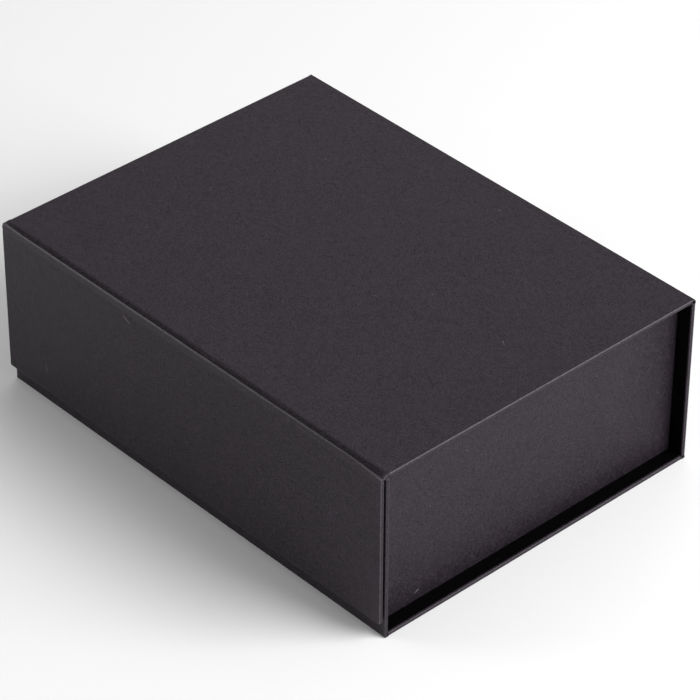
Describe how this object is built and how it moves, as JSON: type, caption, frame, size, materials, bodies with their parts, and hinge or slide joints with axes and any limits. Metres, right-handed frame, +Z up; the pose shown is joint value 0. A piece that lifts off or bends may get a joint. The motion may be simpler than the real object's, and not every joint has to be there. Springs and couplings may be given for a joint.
{
  "type": "magnetic gift box",
  "caption": "Rigid rectangular gift box in black paper-wrapped board, with a hinged lid, a magnetic front flap and recessed end walls.",
  "frame": {"origin": "middle of the closed box's footprint, on the plane that it rests on", "axes": "+X along the long side, -Y out of the front flap, +Y out of the spine wall that carries the lid, +Z up"},
  "size_m": [0.25, 0.1882, 0.088],
  "materials": {
    "wrap_paper": "matte",
    "liner_paper": "matte",
    "greyboard": "matte",
    "magnet": "satin",
    "tape": "satin"
  },
  "bodies": {
    "tray": {"back_wall_board": "greyboard", "back_wall_liner": "liner_paper", "back_wall_wrap": "wrap_paper", "base_back_fold": "wrap_paper", "base_board": "greyboard", "base_front_fold": "wrap_paper", "base_liner": "liner_paper", "base_wrap": "wrap_paper", "front_wall_board": "greyboard", "front_wall_liner": "liner_paper", "front_wall_wrap": "wrap_paper", "left_back_tab": "greyboard", "left_back_tape": "tape", "left_end_board": "greyboard", "left_end_liner": "liner_paper", "left_end_wrap": "wrap_paper", "left_front_tab": "greyboard", "left_front_tape": "tape", "left_wall_magnet": "magnet", "right_back_tab": "greyboard", "right_back_tape": "tape", "right_end_board": "greyboard", "right_end_liner": "liner_paper", "right_end_wrap": "wrap_paper", "right_front_tab": "greyboard", "right_front_tape": "tape", "right_wall_magnet": "magnet"},
    "lid": {"lid_board": "greyboard", "lid_wrap": "wrap_paper", "lid_liner": "liner_paper", "lid_hinge_strip": "wrap_paper", "flap_hinge_strip": "wrap_paper"},
    "flap": {"flap_board": "greyboard", "flap_wrap": "wrap_paper", "flap_liner": "liner_paper", "left_flap_magnet": "magnet", "right_flap_magnet": "magnet"}
  },
  "joints": [
    {"name": "lid_hinge", "type": "hinge", "parent": "tray", "child": "lid", "pos_m": [0, 0.0941, 0.088], "axis": [-1, 0, 0], "range_deg": [0, 198]},
    {"name": "flap_hinge", "type": "hinge", "parent": "lid", "child": "flap", "pos_m": [0, -0.0941, 0.088], "axis": [-1, 0, 0], "range_deg": [0, 90]}
  ]
}
